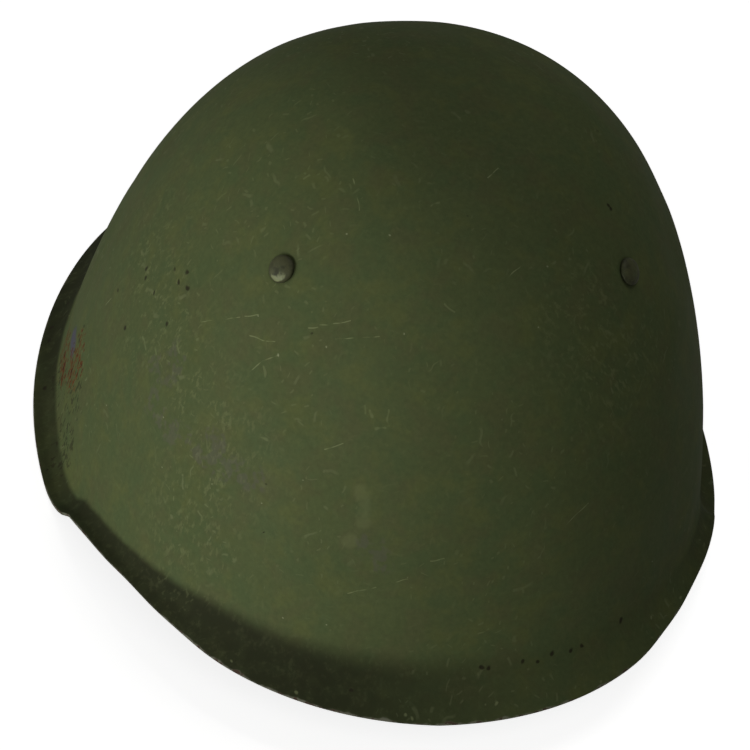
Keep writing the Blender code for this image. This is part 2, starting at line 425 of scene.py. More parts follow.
def makeSeats():
    # a rivet's vertices lie evenly round its axis, so their mean is on it
    mesh = bpy.data.meshes.new("rivetSeats")
    points = []
    for name in ("rivet_front_left", "rivet_front_right"):
        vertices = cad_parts[name].data.vertices
        points.append(sum((v.co for v in vertices), Vector()) / len(vertices))
    mesh.from_pydata(points, [], [])
    return addObject("rivetSeats", mesh)


def thickenShell(sheet, innerPaint):
    # the sheet gets its wall, its land where it rests, and rounded cut edges
    shape = shellShape
    sheet.data.materials.append(innerPaint)
    wall = sheet.modifiers.new("wall", "SOLIDIFY")
    wall.thickness = shape["wall"]
    wall.offset = -1.0
    wall.use_even_offset = True
    wall.material_offset = 1
    shell = keepMesh(sheet, "helmetShell")
    for vertex in shell.data.vertices:
        vertex.co.z = min(max(vertex.co.z, 0.0), shape["height"])
    edge = shell.modifiers.new("edge", "BEVEL")
    edge.width = shape["edgeRound"]
    edge.segments = shape["edgeSegments"]
    edge.limit_method = "ANGLE"
    edge.angle_limit = math.radians(shape["edgeAngle"])
    edge.use_clamp_overlap = True
    finished = keepMesh(shell, "steelShell")
    finished.data.set_sharp_from_angle(angle=math.radians(shape["sharpAngle"]))
    return finished


# Rivets: one lathe-turned rivet, set on the shell at each seat

rivetShape = {
    "headRadius": 0.0048,
    "headHeight": 0.0025,
    "headEdge": 0.0005,
    "seatGap": 0.0001,
    "shankRadius": 0.0021,
    "tailRadius": 0.0034,
    "tailHeight": 0.0014,
    "tailEdge": 0.0005,
    "footShare": 0.95,  # of the radius, where the edge turns under
    "turnShare": 0.35,  # of the edge's height, up to where it is turned
    "segments": 48,
    "headRows": 12,
    "tailRows": 6,
    "domeFullness": 2.3,
    "hammering": 0.00016,
    "hammerSize": 0.0035,
    "hammerDetail": 1.0,
    "hammerLevel": 0.6,  # noise level that stays in place
}


def domeProfile(name):
    # head or tail, from the outer edge up over the dome to the axis
    radius, height, edge, rows = (rivetShape[name + k] for k in ("Radius", "Height", "Edge", "Rows"))
    power = rivetShape["domeFullness"]
    profile = [(radius * rivetShape["footShare"], 0.0), (radius, edge * rivetShape["turnShare"])]
    for row in range(rows + 1):
        angle = math.pi / 2 * row / rows
        across = math.cos(angle) ** (2 / power) if row < rows else 0.0
        profile.append((radius * across, edge + (height - edge) * math.sin(angle) ** (2 / power)))
    return profile


def turnProfile(name, profile):
    # a closed lathe-turned body; each point's height is kept for the paint: where its painted highlight
    # grows, and where it darkens towards the foot
    work = bmesh.new()
    headShare = work.verts.layers.float.new("headShare")
    points = [work.verts.new((radius, 0.0, height)) for radius, height in profile]
    edges = [work.edges.new(pair) for pair in zip(points, points[1:])]
    steps = rivetShape["segments"]
    bmesh.ops.spin(work, geom=points + edges, cent=(0, 0, 0), axis=(0, 0, 1), angle=math.tau, steps=steps)
    bmesh.ops.remove_doubles(work, verts=work.verts, dist=1e-6)
    bmesh.ops.recalc_face_normals(work, faces=work.faces)
    for vertex in work.verts:
        vertex[headShare] = vertex.co.z / rivetShape["headHeight"]
    mesh = bpy.data.meshes.new(name)
    work.to_mesh(mesh)
    work.free()
    return addObject(name, mesh)


def turnRivet():
    base = rivetShape["seatGap"]
    shank = rivetShape["shankRadius"]
    tailBase = -shellShape["wall"] - base
    profile = [(radius, base + height) for radius, height in reversed(domeProfile("head"))]
    profile += [(shank, base), (shank, tailBase)]
    profile += [(radius, tailBase - height) for radius, height in domeProfile("tail")]
    return turnProfile("turnedRivet", profile)


def rivetTree():
    inputs = {"Object": "shell seats rivet", "Material": "paint"}
    inputs["Float"] = "hammering hammerSize hammerDetail hammerLevel"
    tree, given, end = newGroup("GeometryNodeTree", "shellRivets", inputs, {"Geometry": "Geometry"})

    # each seat goes to the nearest place on the shell, and its rivet stands square to it
    steel = geometryOf(tree, given.shell)
    near = addNode(tree, "GeometryNodeProximity", {0: steel}, target_element="FACES")
    seated = movePoints(tree, geometryOf(tree, given.seats), "Position", near.outputs["Position"])
    sockets = {"Mesh": steel, "Value": tree.nodes.new("GeometryNodeInputNormal").outputs[0]}
    sample = addNode(tree, "GeometryNodeSampleNearestSurface", sockets, data_type="FLOAT_VECTOR")
    square = {"Vector": sample.outputs["Value"]}
    turn = addNode(tree, "FunctionNodeAlignRotationToVector", square, axis="Z").outputs["Rotation"]
    sockets = {"Points": seated, "Instance": geometryOf(tree, given.rivet), "Rotation": turn}
    copies = addNode(tree, "GeometryNodeInstanceOnPoints", sockets)
    whole = addNode(tree, "GeometryNodeRealizeInstances", {0: copies.outputs[0]})

    # hammered heads are never quite round
    dint = fieldNoise(tree, given.hammerSize, given.hammerDetail) - given.hammerLevel
    hammered = pushOut(tree, whole.outputs[0], dint * given.hammering)
    return endTree(tree, hammered, given.paint, end)


# Finishes: a material is a base under layers, each laid over the last through a mask

paintColours = {
    "olive": (0.078, 0.098, 0.037),
    "yellowOlive": (0.096, 0.110, 0.036),
    "brownOlive": (0.084, 0.091, 0.037),
    "blueOlive": (0.068, 0.095, 0.037),
    "rivetOlive": (0.060, 0.063, 0.028),
    "scuff": (0.142, 0.160, 0.074),
    "yellowScuff": (0.150, 0.166, 0.070),
    "scratchAndHighlight": (0.220, 0.245, 0.115),
    "glint": (0.360, 0.380, 0.230),
    "grimeAndShade": (0.019, 0.021, 0.009),
    "primer": (0.094, 0.089, 0.068),
    "bareSteel": (0.056, 0.053, 0.082),
    "rust": (0.116, 0.046, 0.014),
    "rustDeep": (0.050, 0.020, 0.012),
    "steel": (0.270, 0.265, 0.200),
    "chip": (0.020, 0.016, 0.009),
}


def mixed(tree, factor, first, second, kind="FLOAT"):
    low, high, out = (6, 7, 2) if kind == "RGBA" else (2, 3, 0)
    first, second = ((*value, 1.0) if isinstance(value, tuple) else value for value in (first, second))
    node = addNode(tree, "ShaderNodeMix", {0: factor, low: first, high: second}, data_type=kind)
    return Formula(tree, node.outputs[out])


def strokeDistanceGroup():
    # how far it is to a run between two points, or to what came before if that is nearer
    inputs = {"Vector": "Vector Start Run", "Float": "PerRun Before"}
    tree, given, end = newGroup("ShaderNodeTree", "strokeDistance", inputs, {"Float": "Distance"})
    toPoint = vectorMath(tree, "SUBTRACT", given.Vector, given.Start)
    reached = vectorMath(tree, "DOT_PRODUCT", toPoint, given.Run)
    share = reached.do("MULTIPLY", reached, given.PerRun, clamp=True)
    away = vectorMath(tree, "DISTANCE", toPoint, vectorMath(tree, "SCALE", given.Run, scale=share))
    connect(tree, away.smaller(given.Before), end.inputs["Distance"])
    return tree


def spacedCells(tree, given):
    # cells of the given spacing, three chances that each cell draws, and whether it is chosen
    sockets = {"Vector": given.Vector, "Scale": 1.0 / given.Spacing}
    cells = addNode(tree, "ShaderNodeTexVoronoi", sockets)
    chances = parts(tree, cells.outputs["Color"])
    return cells, chances, chances[0].do("LESS_THAN", chances[0], given.Share)


def scuffsGroup():
    # short rubbed strokes, one to a cell, that lie along the surface in a loose direction
    inputs = {"Vector": "Vector Normal Direction", "Float": "Spread Spacing Length Width Share"}
    tree, given, end = newGroup("ShaderNodeTree", "scuffs", inputs, {"Float": "Mask"})
    cells, chances, chosen = spacedCells(tree, given)
    lean = vectorMath(tree, "SUBTRACT", cells.outputs["Color"], (0.5, 0.5, 0.5))
    lean = vectorMath(tree, "SCALE", lean, scale=given.Spread * 2.0)

    def alongSurface(vector):
        lift = vectorMath(tree, "DOT_PRODUCT", vector, given.Normal)
        return vectorMath(tree, "SUBTRACT", vector, vectorMath(tree, "SCALE", given.Normal, scale=lift))

    aim = vectorMath(tree, "NORMALIZE", alongSurface(vectorMath(tree, "ADD", given.Direction, lean)))
    away = alongSurface(vectorMath(tree, "SUBTRACT", given.Vector, cells.outputs["Position"]))
    along = vectorMath(tree, "DOT_PRODUCT", away, aim)
    across = vectorMath(tree, "DISTANCE", away, vectorMath(tree, "SCALE", aim, scale=along))
    width = given.Width * (chances[1] + 0.5)
    length = given.Length * (chances[2] + 0.4)
    mask = across.ramp(width * 0.5, width * 0.15) * along.of("ABSOLUTE").ramp(length * 0.5, length * 0.2)
    connect(tree, mask * chosen, end.inputs["Mask"])
    return tree


def chipsGroup():
    # small round spots, one to a cell; a wobbled vector makes them ragged
    inputs = {"Vector": "Vector", "Float": "Spacing Radius Share"}
    tree, given, end = newGroup("ShaderNodeTree", "chips", inputs, {"Float": "Mask"})
    cells, chances, chosen = spacedCells(tree, given)
    distance = Formula(tree, cells.outputs["Distance"]) * given.Spacing
    own = given.Radius * (chances[1] + 0.4)
    connect(tree, distance.ramp(own, own * 0.6) * chosen, end.inputs["Mask"])
    return tree


def streaksGroup():
    # noise drawn out along one direction
    inputs = {"Vector": "Vector Direction", "Float": "Fineness Length"}
    tree, given, end = newGroup("ShaderNodeTree", "streaks", inputs, {"Float": "Value"})
    along = vectorMath(tree, "DOT_PRODUCT", given.Vector, given.Direction)
    squeezed = along * (1.0 / given.Length - given.Fineness)
    wide = vectorMath(tree, "SCALE", given.Vector, scale=given.Fineness)
    drawn = vectorMath(tree, "ADD", wide, vectorMath(tree, "SCALE", given.Direction, scale=squeezed))
    connect(tree, noise(tree, drawn, 1.0, 2.0, 0.6), end.inputs["Value"])
    return tree


def mottleGroup():
    # old enamel: soft clouds of warmer, cooler and browner green, and a fine speckle
    inputs = {"Vector": "Vector", "Float": "Size Strength Speckle", "Color": "Base Warm Cool Brown"}
    tree, given, end = newGroup("ShaderNodeTree", "enamelMottle", inputs, {"Color": "Color"})
    scale = 1.0 / given.Size
    colour = given.Base
    clouds = parts(tree, noise(tree, given.Vector, scale, 3.0, 0.62, "Color"))
    for hue, cloud in zip((given.Warm, given.Cool, given.Brown), clouds):
        colour = mixed(tree, cloud.ramp(0.47, 0.66) * given.Strength, colour, hue, "RGBA")
    speckle = noise(tree, given.Vector, scale * 7.0, 2.0, 0.6) - 0.5
    shade = vectorMath(tree, "SCALE", colour, scale=speckle * given.Speckle + 1.0)
    connect(tree, shade, end.inputs["Color"])
    return tree


groups = {
    "strokeDistance": strokeDistanceGroup(),
    "scuffs": scuffsGroup(),
    "chips": chipsGroup(),
    "streaks": streaksGroup(),
    "mottle": mottleGroup(),
}


class Finish:
    # a material under way: its colour, roughness, metal and height so far

    def __init__(self, name, roughness):
        self.material = bpy.data.materials.new(name)
        self.material.use_nodes = True
        self.tree = self.material.node_tree
        self.shader = self.tree.nodes["Principled BSDF"]
        spot = self.tree.nodes.new("ShaderNodeTexCoord")
        self.place = Formula(self.tree, spot.outputs["Object"])
        self.normal = Formula(self.tree, spot.outputs["Normal"])
        self.roughness = roughness
        self.colour = self.metal = self.height = None

    def use(self, group, **values):
        node = self.tree.nodes.new("ShaderNodeGroup")
        node.node_tree = groups[group]
        values.setdefault("Vector", self.place)
        for label, value in values.items():
            if isinstance(value, tuple) and node.inputs[label].type == "RGBA":
                value = (*value, 1.0)
            connect(self.tree, value, node.inputs[label])
        return Formula(self.tree, node.outputs[0])

    def share(self, name):
        node = addNode(self.tree, "ShaderNodeAttribute", {}, attribute_name=name)
        return Formula(self.tree, node.outputs["Fac"])

    def noise(self, scale, detail):
        return noise(self.tree, self.place, scale, detail)

    def wobbled(self, size, amount):
        # the place, shaken a little so that marks get ragged outlines
        shake = noise(self.tree, self.place, 1.0 / size, 0.0, output="Color")
        shake = vectorMath(self.tree, "SUBTRACT", shake, (0.5, 0.5, 0.5))
        shake = vectorMath(self.tree, "SCALE", shake, scale=amount * 2.0)
        return vectorMath(self.tree, "ADD", self.place, shake)

    def lay(self, mask, colour, roughness, metal=None, depth=0.0):
        # depth is in millimetres, and less than nothing for what goes in
        self.colour = mixed(self.tree, mask, self.colour, colour, "RGBA")
        self.roughness = mixed(self.tree, mask, self.roughness, roughness)
        if metal is not None:
            self.metal = mixed(self.tree, mask, self.metal or 0.0, metal)
        if depth:
            self.raised(mask * depth)

    def raised(self, height):
        self.height = height if self.height is None else self.height + height

    def close(self, specular):
        bump = addNode(self.tree, "ShaderNodeBump", {"Distance": 0.001, "Height": self.height})
        sockets = {"Base Color": self.colour, "Roughness": self.roughness, "Metallic": self.metal or 0.0}
        sockets.update({"Specular IOR Level": specular, "Normal": bump.outputs[0]})
        for label, value in sockets.items():
            connect(self.tree, value, self.shader.inputs[label])
        return self.material


def startPaint(name, look):
    # enamel as it was sprayed: its clouds of colour, its grain, and slow waves under that
    finish = Finish(name, look.roughness)
    hues = dict(zip(("Base", "Warm", "Brown", "Cool"), (paintColours[hue] for hue in look.clouds)))
    finish.colour = finish.use("mottle", **look.mottle, **hues)
    for scale, detail, depth in (look.grain, look.waves):
        finish.raised((finish.noise(scale, detail) - 0.5) * depth)
    return finish


# Marks that show in the picture: paint is a colour and its roughness, and the places are in
# pixels, two numbers for a spot and four for a run

shellMarks = {
    "scratches": {
        "radius": 0.00026, "strength": 0.62, "paint": ("scratchAndHighlight", 0.5),
        "places": (
            (201, 322, 226, 319), (226, 319, 240, 318), (245, 316, 258, 315),
            (308, 328, 318, 327), (320, 325, 328, 325), (333, 324, 351, 321),
            (336, 339, 380, 336), (250, 336, 262, 340), (262, 340, 275, 342),
            (250, 371, 263, 361), (263, 361, 279, 355), (105, 306, 111, 298),
            (347, 593, 376, 588), (396, 582, 408, 579), (353, 179, 360, 210),
            (488, 178, 498, 168), (502, 284, 520, 266), (567, 524, 588, 503),
            (325, 449, 343, 444), (430, 561, 444, 559),
        ),
    },
    "cuts": {
        "radius": 0.00042, "strength": 0.80, "paint": ("chip", 0.7),
        "places": ((253, 545, 266, 531),),
    },
    "nicks": {
        "radius": 0.00065, "strength": 0.27, "paint": ("scratchAndHighlight", 0.5),
        "places": (
            (364, 407, 366, 413), (371, 411, 373, 419), (388, 412, 388, 425),
            (373, 428, 383, 428), (262, 437, 275, 443), (303, 178, 310, 175),
            (432, 206, 438, 203), (445, 304, 454, 312), (478, 634, 488, 630),
            (142, 338, 146, 350), (155, 347, 156, 353), (177, 347, 179, 352),
            (264, 366, 264, 378),
        ),
    },
    "glints": {
        "radius": 0.00046, "strength": 0.42, "paint": ("glint", 0.4),
        "places": (
            (73, 352), (258, 315), (279, 355), (346, 234), (388, 234), (326, 347), (402, 335),
            (548, 266), (538, 327), (156, 448), (162, 468), (212, 485), (248, 482), (261, 502),
            (303, 480), (107, 405), (110, 268), (163, 418), (408, 579), (513, 590), (652, 562),
            (282, 617), (327, 626), (245, 256),
        ),
    },
    "rimNicks": {
        "radius": 0.0008, "strength": 0.40, "paint": ("scratchAndHighlight", 0.5),
        "places": (
            (297, 692), (230, 660), (405, 716), (412, 718), (485, 706), (497, 704), (600, 680),
            (652, 619), (681, 598),
        ),
    },
    "chips": {
        "radius": 0.00118, "strength": 0.85, "paint": ("chip", 0.7),
        "places": (
            (146, 268), (146, 279), (154, 292), (174, 270), (178, 283), (187, 272), (188, 287),
            (167, 324), (118, 291), (84, 327), (125, 328), (609, 206), (611, 209), (52, 328),
            (50, 340), (45, 388), (68, 303), (482, 667), (488, 668), (523, 662), (537, 661),
            (552, 653), (572, 649), (582, 645), (621, 620), (79, 336), (79, 341), (350, 690),
        ),
    },
    "steel": {
        "radius": 0.0056, "strength": 0.85, "paint": ("bareSteel", 0.42),
        "places": ((73, 339, 73, 346),),
    },
    "pale": {
        "radius": 0.0034, "strength": 0.30, "paint": ("yellowScuff", 0.6),
        "places": ((361, 490, 364, 522), (348, 541, 351, 540)),
    },
}

# Wider regions, kept on the shell's vertices as shares that fade out towards the radius
shellRegions = {
    "wornShare": {
        "radius": 0.034,
        "runs": (
            (150, 250, 155, 330), (155, 330, 180, 380), (180, 380, 215, 440),
            (215, 440, 190, 540), (590, 325, 620, 375),
        ),
    },
    "bareShare": {
        "radius": 0.0070,
        "runs": (
            (155, 361, 158, 367), (177, 354, 178, 369), (164, 379, 153, 405),
            (153, 405, 168, 428), (168, 428, 186, 441), (214, 439, 216, 447),
            (205, 458, 255, 480), (370, 545, 380, 562),
        ),
    },
    "rustShare": {
        "radius": 0.0100,
        "runs": ((66, 344, 64, 368), (79, 350, 77, 370), (72, 362, 71, 372)),
    },
    "fleckShare": {
        "radius": 0.0105,
        "runs": (
            (63, 420, 63, 462), (70, 430, 69, 452), (62, 386, 60, 366),
            (72, 392, 77, 404),
        ),
    },
}


class Marker:
    # finds the places on the shell that the picture's pixels show

    def __init__(self, shell):
        self.tree = BVHTree.FromObject(shell, bpy.context.evaluated_depsgraph_get())

    def at(self, pixel):
        across, up, back = cameraAxes()
        right, above = offMiddle(*pixel)
        reach = photoView["pixelsPerMetre"] * photoView["distance"]
        ray = across * right + up * above - back * reach
        place = self.tree.ray_cast(scene.camera.matrix_world.translation, ray.normalized())[0]
        if place is None:
            print("mark off the shell:", pixel)
            place = Vector((0.0, 0.0, -1.0))
        return place


def storeRegions(sheet, marker):
    points = np.array([vertex.co for vertex in sheet.data.vertices])
    for name, region in shellRegions.items():
        nearest = np.full(len(points), 1.0)
        for run in region["runs"]:
            first = np.array(marker.at(run[:2]))
            span = np.array(marker.at(run[2:])) - first
            share = np.clip((points - first) @ span / (span @ span), 0.0, 1.0)
            away = np.linalg.norm(points - first - share[:, None] * span, axis=1)
            nearest = np.minimum(nearest, away)
        fade = np.clip(1.0 - nearest / region["radius"], 0.0, 1.0)
        stored = sheet.data.attributes.new(name, "FLOAT", "POINT")
        stored.data.foreach_set("value", fade * fade * (3.0 - 2.0 * fade))


def nearestMark(finish, marks, vector):
    # how far it is to the nearest mark: one place for a spot, two for a run
    distance = 1.0
    for mark in marks:
        if len(mark) == 1:
            distance = vectorMath(finish.tree, "DISTANCE", vector, tuple(mark[0])).smaller(distance)
        else:
            first, span = mark[0], mark[1] - mark[0]
            distance = finish.use(
                "strokeDistance", Vector=vector, Start=tuple(first), Run=tuple(span),
                PerRun=1.0 / span.length_squared, Before=distance,
            )
    return distance


def layMarks(finish, marker, name, vector, patchy=1.0):
    # strongest on the picture's marks of that name, and nothing beyond their radius
    marks = shellMarks[name]
    places = [[marker.at(mark[i:i + 2]) for i in range(0, len(mark), 2)] for mark in marks["places"]]
    near = nearestMark(finish, places, vector).ramp(marks["radius"], marks["radius"] * 0.4)
    hue, roughness = marks["paint"]
    finish.lay(near * patchy * marks["strength"], paintColours[hue], roughness)


# Noises are given by scale and detail, and grain and waves by their depth in millimetres too;
# a cut is the noise level where a layer starts, and the one where it is full

shellPaintLook = {
    "roughness": 0.76,
    "roughnessSpread": 0.12,
    "roughnessCut": (0.35, 0.70),
    "specular": 0.08,
    "mottle": {"Size": 0.013, "Strength": 0.60, "Speckle": 0.34},
    "clouds": ("olive", "yellowOlive", "brownOlive", "blueOlive"),
    "grain": (1000.0, 0.0, 0.016),
    "waves": (95.0, 1.0, 0.13),
    "grit": (190.0, 2.0),
    "fine": (430.0, 1.0),
    "broad": (26.0, 1.0),
    "wobble": (0.0036, 0.0011),  # its size and how far it shakes a mark's outline
    "hairWobble": (0.0040, 0.0004),
    "sootStrength": 0.92,
    "sootRagged": 0.12,
    "sootStart": 0.045,  # x, where the visor starts to darken towards the wearer's right
    "sootFull": -0.045,
    "sootLeast": 0.15,  # share of it that the less shaded side keeps
    "sootReturn": (0.082, 0.112),  # x, between which it comes back at the wearer's left
    "sootReturned": 0.55,
    "sootMiddle": -0.012,  # x, where the painted shade reaches highest over the visor
    "sootAside": (0.010, 0.092),  # how far from there it starts to draw back, and has done so
    "sootDrop": 0.14,  # how much further out along the flare it starts at the side
    "sootFade": 0.45,  # how softly it starts at the front
    "sootSharper": 0.28,  # and how much less softly at the side
    "wipedCut": (0.40, 0.75),
    "wipedSpecks": 0.12,
    "wipedSide": (-0.108, -0.116),  # x, between which the painted shade is lifted at the far right
    "wipedShare": 0.28,
    "rubbedCut": (0.44, 0.60),
    "rubbedPatches": 0.8,
    "rubbedWorn": 0.5,
    "rubbedLeast": 0.26,
    "rubbedUnderSoot": 0.6,
    "scuffDirection": (0.25, 0.10, -0.96),
    "scuffStrength": 0.40,
    "scuffs": (
        {"Spacing": 0.0125, "Length": 0.0056, "Width": 0.00125, "Share": 0.50, "Spread": 0.9},
        {"Spacing": 0.00575, "Length": 0.002576, "Width": 0.000848, "Share": 0.62, "Spread": 1.6},
    ),
    "streaks": {"Fineness": 620.0, "Length": 0.0085},
    "streakCut": (0.50, 0.66),
    "streakGaps": (0.36, 0.60),
    "streakWorn": 0.42,
    "streakLeast": 0.08,
    "pits": {"Spacing": 0.013, "Radius": 0.00052, "Share": 0.30},
    "pitStrength": 0.6,
    "pitDepth": -0.05,
    "paleCut": (0.24, 0.44),
    "thin": {"gain": 0.09, "cut": (0.53, 0.61), "edge": (0.02, 0.40), "strength": 0.42},
    "dashes": {"Direction": (0.0, 0.0, -1.0), "Fineness": 640.0, "Length": 0.0036},
    "dashEdge": (0.02, 0.30),
    "rust": {"gain": 0.15, "cut": (0.60, 0.65), "roughness": 0.88},
    "rustDeep": {"gain": 0.12, "cut": (0.67, 0.73), "roughness": 0.90},
    "flecks": {"gain": 0.12, "cut": (-0.36, -0.30), "strength": 0.58},
    "hairCut": (0.22, 0.52),
    "footRadius": 0.0060,
    "footFull": 0.78,  # share of that radius up to which the painted shade round a rivet is full
    "footStrength": 0.25,
    "edgeSteel": 0.45,
    "edgeMetal": 0.3,
    "edgeRust": 0.8,
    "edgeRustCut": (0.55, 0.62),
}
cutEdge = {"ragged": 0.16, "cut": (0.955, 0.99)}  # shares of the bend and flare


def onCutEdge(flare, grit):
    return (flare + (grit - 0.5) * cutEdge["ragged"]).ramp(*cutEdge["cut"])


def paintShell(marker, seats):
    look = SimpleNamespace(**shellPaintLook)
    hue = paintColours
    finish = startPaint("shellPaint", look)
    flare = finish.share("flareShare")
    worn = finish.share("wornShare")
    ragged = finish.wobbled(*look.wobble)
    grit = finish.noise(*look.grit)
    fine = finish.noise(*look.fine)
    broad = finish.noise(*look.broad)
    spread = look.roughnessSpread
    finish.roughness = broad.ramp(*look.roughnessCut) * spread + (look.roughness - spread / 2)

    # painted shade on the upturned visor and in the bend over it, thickest towards the wearer's right
    across = parts(finish.tree, finish.place)[0]
    returned = across.ramp(*look.sootReturn) * look.sootReturned
    side = across.ramp(look.sootStart, look.sootFull).larger(returned)
    aside = (across - look.sootMiddle).of("ABSOLUTE").ramp(*look.sootAside)
    flareShade = flare + (grit - 0.5) * look.sootRagged - aside * look.sootDrop
    flareShade = flareShade.ramp(0.0, look.sootFade - aside * look.sootSharper)
    flareShade = flareShade * (side * (1.0 - look.sootLeast) + look.sootLeast)
    # the painted shade is broken by specks, and lifted at the far right
    shadeLifted = grit.ramp(*look.wipedCut) * look.wipedSpecks
    shadeLifted = shadeLifted + across.ramp(*look.wipedSide) * look.wipedShare
    finish.lay(flareShade * (look.sootStrength - shadeLifted), hue["grimeAndShade"], look.roughness)

    # rubbed strokes in two sizes, thin and faint, and yellower ones drawn down the worn side
    wearAndHighlight = broad.ramp(*look.rubbedCut) * look.rubbedPatches + worn * look.rubbedWorn
    wearAndHighlight = (wearAndHighlight + look.rubbedLeast) * (1.0 - flareShade * look.rubbedUnderSoot)
    way = look.scuffDirection
    for strokes in look.scuffs:
        mask = finish.use("scuffs", Vector=ragged, Normal=finish.normal, Direction=way, **strokes)
        finish.lay(mask * wearAndHighlight * look.scuffStrength, hue["scuff"], roughness=0.58)
    drawn = finish.use("streaks", Direction=way, **look.streaks)
    drawn = drawn.ramp(*look.streakCut) * grit.ramp(*look.streakGaps)
    finish.lay(drawn * (worn * look.streakWorn + look.streakLeast), hue["yellowScuff"], roughness=0.6)

    # old knocks: small dark pits
    pits = finish.use("chips", Vector=ragged, **look.pits)
    finish.lay(pits * look.pitStrength, hue["chip"], roughness=0.7, depth=look.pitDepth)

    # the picture's own marks: thin paint, bare metal, rust and flecks
    layMarks(finish, marker, "pale", ragged, grit.ramp(*look.paleCut))
    thin = look.thin
    bare = finish.share("bareShare")
    mask = (grit * 0.5 + fine * 0.5 + bare * thin["gain"]).ramp(*thin["cut"]) * bare.ramp(*thin["edge"])
    finish.lay(mask * thin["strength"], hue["primer"], roughness=0.5)
    layMarks(finish, marker, "steel", ragged)
    dashes = finish.use("streaks", **look.dashes)
    rusty = finish.share("rustShare")
    for name in ("rust", "rustDeep"):
        layer = getattr(look, name)
        mask = (dashes + rusty * layer["gain"]).ramp(*layer["cut"]) * rusty.ramp(*look.dashEdge)
        finish.lay(mask, hue[name], layer["roughness"])
    flecks = look.flecks
    flecked = finish.share("fleckShare")
    mask = (flecked * flecks["gain"] - dashes).ramp(*flecks["cut"]) * flecked.ramp(*look.dashEdge)
    finish.lay(mask * flecks["strength"], hue["chip"], roughness=0.8)

    # the picture's own marks: chips, nicks, hairline scratches, a cut and glints
    layMarks(finish, marker, "chips", ragged)
    layMarks(finish, marker, "nicks", ragged)
    layMarks(finish, marker, "scratches", finish.wobbled(*look.hairWobble), fine.ramp(*look.hairCut))
    layMarks(finish, marker, "cuts", ragged)
    layMarks(finish, marker, "glints", ragged)

    # painted shade in a ring round each rivet, just outside its head
    radius = look.footRadius
    rivetRingShade = nearestMark(finish, seats, finish.place).ramp(radius, radius * look.footFull)
    finish.lay(rivetRingShade * look.footStrength, hue["grimeAndShade"], roughness=0.75)

    # the rim's cut edge is rubbed to steel in places, and nicked
    edge = onCutEdge(flare, grit)
    finish.lay(edge * look.edgeSteel, hue["steel"], roughness=0.45, metal=look.edgeMetal)
    rusted = edge * fine.ramp(*look.edgeRustCut) * look.edgeRust
    finish.lay(rusted, hue["rustDeep"], roughness=0.85, metal=0.0)
    layMarks(finish, marker, "rimNicks", ragged)
    return finish.close(look.specular)


innerPaintLook = {
    "roughness": 0.68,
    "specular": 0.30,
    "mottle": {"Size": 0.020, "Strength": 0.6, "Speckle": 0.35},
    "clouds": ("olive", "yellowOlive", "brownOlive", "blueOlive"),
    "grain": (900.0, 1.0, 0.018),
    "waves": (95.0, 1.0, 0.10),
    "grit": (190.0, 2.0),
    "wobble": (0.0040, 0.0009),
    "stains": (38.0, 4.0),
    "stainCut": (0.42, 0.78),
    "stainStrength": 0.34,
    "foldReach": (0.02, 0.30),  # shares of the bend and flare, between which the fold's dirt grows
    "foldStrength": 0.22,
    "scuffs": {
        "Direction": (0.2, 1.0, 0.1), "Spread": 1.2, "Spacing": 0.011, "Length": 0.007,
        "Width": 0.0007, "Share": 0.40,
    },
    "scuffStrength": 0.35,
    "spots": {"Spacing": 0.016, "Radius": 0.0010, "Share": 0.30},
    "spotStrength": 0.85,
    "spotDepth": -0.03,
    "edgeSteel": 0.7,
    "edgeMetal": 0.4,
}


def paintInside():
    look = SimpleNamespace(**innerPaintLook)
    hue = paintColours
    finish = startPaint("innerPaint", look)
    flare = finish.share("flareShare")
    ragged = finish.wobbled(*look.wobble)

    # sweat and dust have dulled it, most along the rim's fold
    stained = finish.noise(*look.stains).ramp(*look.stainCut) * look.stainStrength
    stained = stained + flare.ramp(*look.foldReach) * look.foldStrength
    finish.lay(stained, hue["grimeAndShade"], roughness=0.80)
    rub = finish.use("scuffs", Vector=ragged, Normal=finish.normal, **look.scuffs)
    finish.lay(rub * look.scuffStrength, hue["scuff"], roughness=0.5)
    spots = finish.use("chips", Vector=ragged, **look.spots)
    finish.lay(spots * look.spotStrength, hue["rust"], roughness=0.9, depth=look.spotDepth)
    edge = onCutEdge(flare, finish.noise(*look.grit))
    finish.lay(edge * look.edgeSteel, hue["steel"], roughness=0.45, metal=look.edgeMetal)
    return finish.close(look.specular)


rivetPaintLook = {
    "roughness": 0.58,
    "specular": 0.22,
    "mottle": {"Size": 0.006, "Strength": 0.6, "Speckle": 0.35},
    "clouds": ("rivetOlive", "olive", "brownOlive", "grimeAndShade"),
    "grain": (1500.0, 1.0, 0.02),
    "waves": (380.0, 1.0, 0.12),
    "patches": (420.0, 2.0),
    "rubbedSide": (-0.72, -0.66, 0.22),
    "rubbedRagged": 0.30,
    "rubbedCut": (0.90, 0.99),
    "rubbedHeight": (0.2, 0.6),  # shares of the head's height, between which the painted highlight grows
    "rubbedStrength": 0.80,
    "grimeHeight": (0.46, 0.12),
    "grimeCut": (0.3, 0.6),
    "grimeStrength": 0.85,
    "spots": {"Spacing": 0.0034, "Radius": 0.0005, "Share": 0.35},
    "spotStrength": 0.7,
    "spotDepth": -0.03,
}


